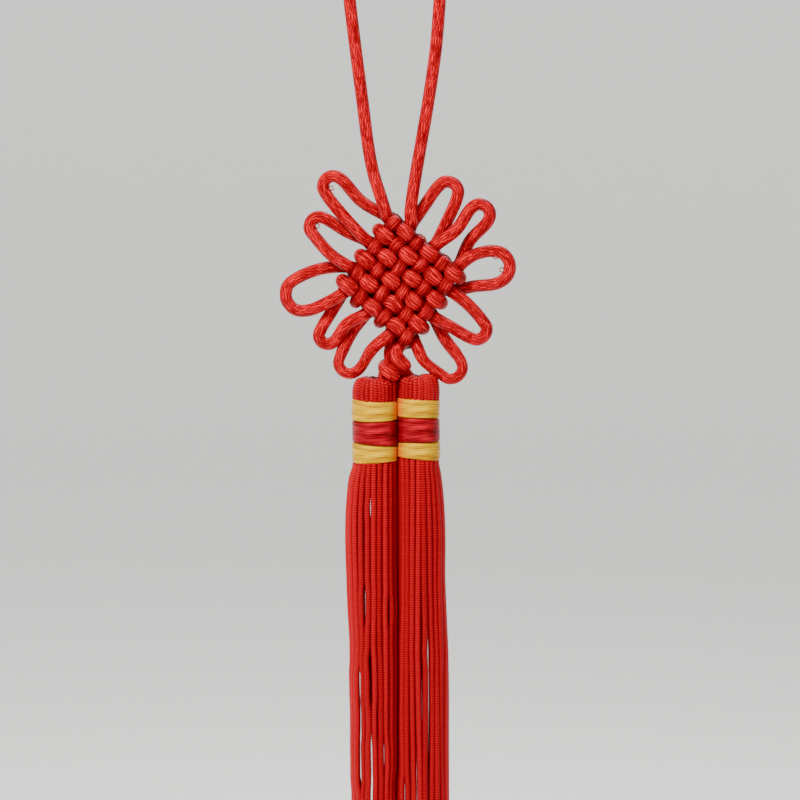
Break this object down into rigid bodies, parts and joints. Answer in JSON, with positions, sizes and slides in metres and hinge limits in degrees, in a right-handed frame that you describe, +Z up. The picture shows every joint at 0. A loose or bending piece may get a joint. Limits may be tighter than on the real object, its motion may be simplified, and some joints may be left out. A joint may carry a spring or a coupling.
{
  "type": "chinese knot tassel",
  "caption": "Hanging ornament of red satin cord: a diamond mystic knot with ear loops and a hanging loop, above two bound tassels with long skirts.",
  "frame": {"origin": "underside of the cord at the top of the hanging loop, where a hook bears", "axes": "+Z up, with the ornament hanging below the origin; -Y is the front face of the knot; +X is to the right as seen from the front"},
  "size_m": [0.047, 0.0094, 0.2389],
  "materials": {
    "satin_cord": "satin braided rayon cord",
    "tassel_cord": "fine ribbed rayon cord",
    "yellow_thread": "glossy wound silk thread",
    "red_thread": "glossy wound silk thread"
  },
  "bodies": {
    "root": {"hanging_cord": "satin_cord", "knot": "satin_cord", "tassel_left": "tassel_cord", "tassel_right": "tassel_cord", "binding_left_upper": "yellow_thread", "binding_left_middle": "red_thread", "binding_left_lower": "yellow_thread", "binding_right_upper": "yellow_thread", "binding_right_middle": "red_thread", "binding_right_lower": "yellow_thread"}
  },
  "joints": []
}
